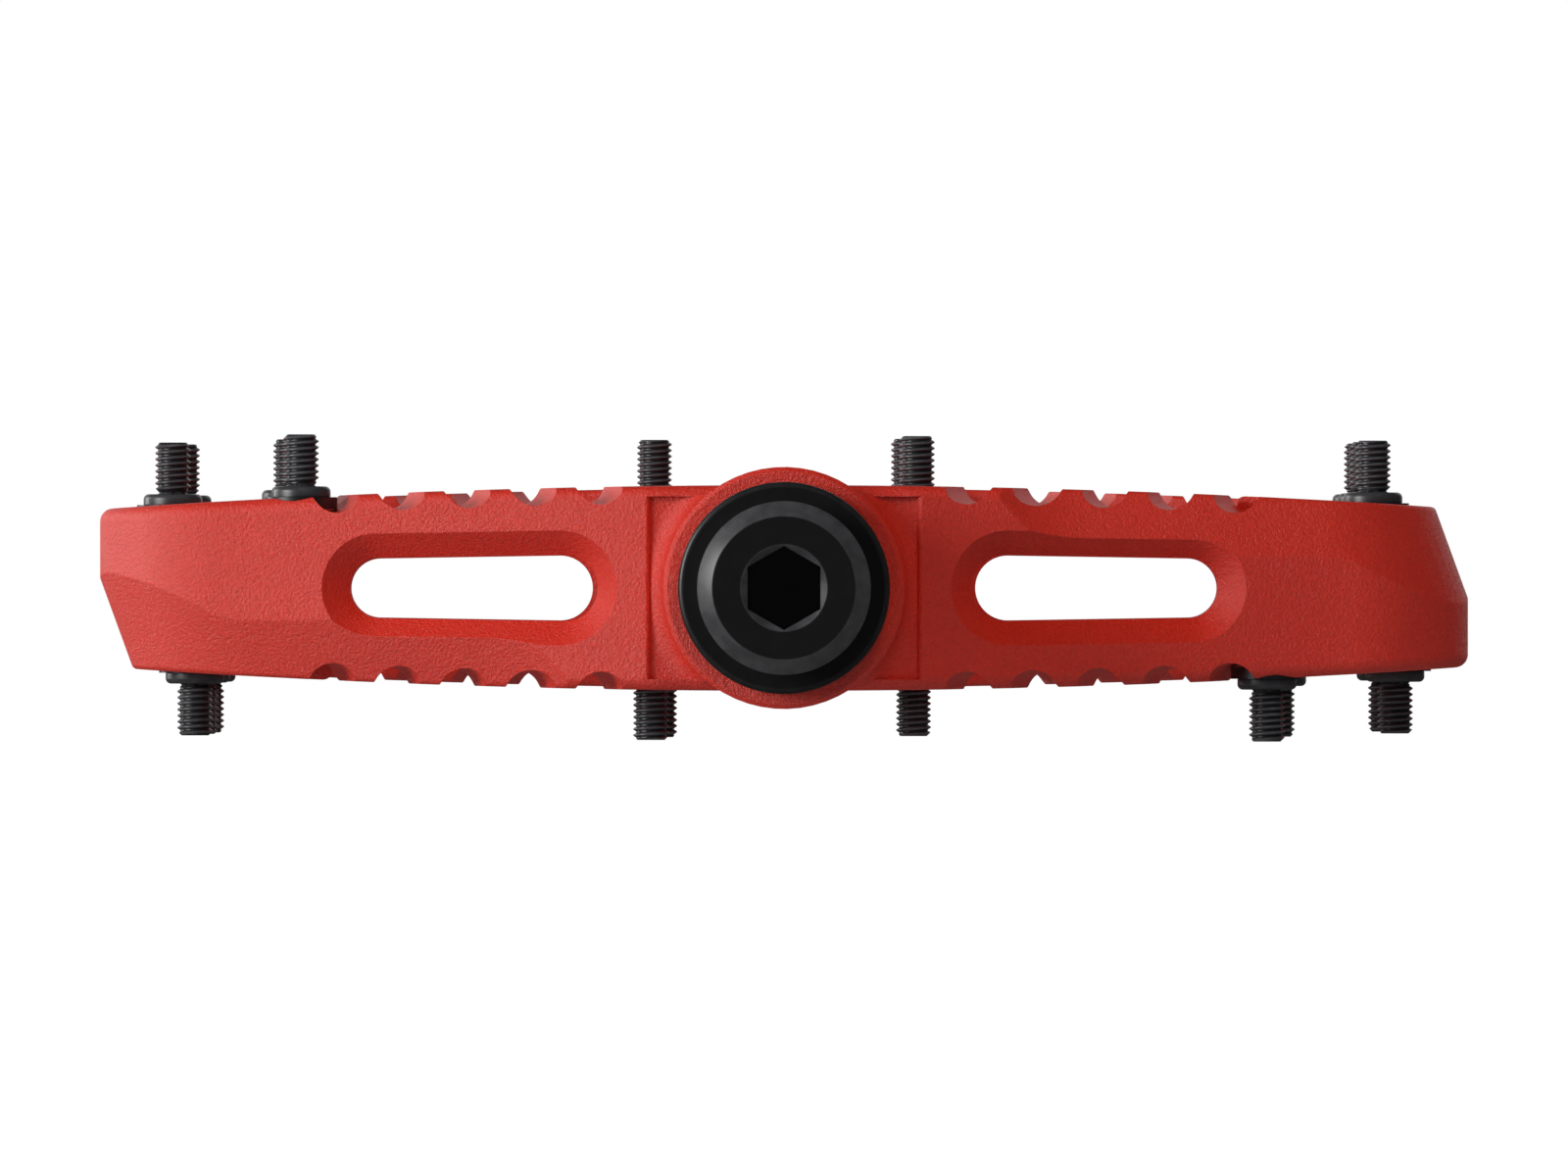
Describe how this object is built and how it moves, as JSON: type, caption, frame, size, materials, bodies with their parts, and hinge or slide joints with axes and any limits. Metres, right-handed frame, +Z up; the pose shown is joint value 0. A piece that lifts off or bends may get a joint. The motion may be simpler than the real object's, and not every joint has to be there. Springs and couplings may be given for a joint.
{
  "type": "flat pedal",
  "caption": "Flat bicycle pedal: crowned machined platform with traction pins on both faces, turning on a threaded steel spindle.",
  "frame": {"origin": "on the spindle axis, at the shoulder of the flange that seats on the crank arm", "axes": "-Y along the spindle into the crank, +Y outboard, +Z up through the top face, -X the leading edge of a right-hand pedal"},
  "size_m": [0.1136, 0.1215, 0.0254],
  "materials": {
    "anodised_red": "bead blasted, red anodised",
    "black_steel": "black oxide, satin",
    "pin_black": "black oxide, lightly oiled",
    "bright_steel": "zinc plated",
    "spring_steel": "phosphated",
    "bearing_steel": "ground and polished",
    "cage_polymer": "natural nylon",
    "shield_rubber": "moulded",
    "seal_rubber": "moulded",
    "bushing_polymer": "moulded, self lubricating",
    "cap_black": "black anodised, turned"
  },
  "bodies": {
    "spindle": {"spindle": "black_steel", "bearing_spacer": "bright_steel", "axle_washer": "bright_steel", "axle_nut": "bright_steel", "bearing_1_inner_race": "bearing_steel", "bearing_2_inner_race": "bearing_steel", "bearing_3_inner_race": "bearing_steel"},
    "platform": {"pedal_body": "anodised_red", "flanged_pins_top": "pin_black", "flanged_pins_bottom": "pin_black", "pin_washers_top": "pin_black", "pin_washers_bottom": "pin_black", "axle_pins_top": "pin_black", "axle_pins_bottom": "pin_black", "inboard_seal": "seal_rubber", "plain_bushing": "bushing_polymer", "retaining_ring": "spring_steel", "end_cap": "cap_black", "end_cap_o_ring": "seal_rubber", "bearing_1_outer_race": "bearing_steel", "bearing_2_outer_race": "bearing_steel", "bearing_3_outer_race": "bearing_steel", "bearing_1_shields": "shield_rubber", "bearing_2_shields": "shield_rubber", "bearing_3_shields": "shield_rubber"},
    "ball_train": {"bearing_1_balls": "bearing_steel", "bearing_2_balls": "bearing_steel", "bearing_3_balls": "bearing_steel", "bearing_1_cage": "cage_polymer", "bearing_2_cage": "cage_polymer", "bearing_3_cage": "cage_polymer"}
  },
  "joints": [
    {"name": "pedal_spin", "type": "hinge", "parent": "spindle", "child": "platform", "pos_m": [0, 0.057, 0], "axis": [0, 1, 0], "continuous": true},
    {"name": "ball_train_spin", "type": "hinge", "parent": "spindle", "child": "ball_train", "pos_m": [0, 0.08, 0], "axis": [0, 1, 0], "continuous": true}
  ],
  "couplings": [
    {"joint": "ball_train_spin", "follows": "pedal_spin", "ratio": 0.56}
  ]
}
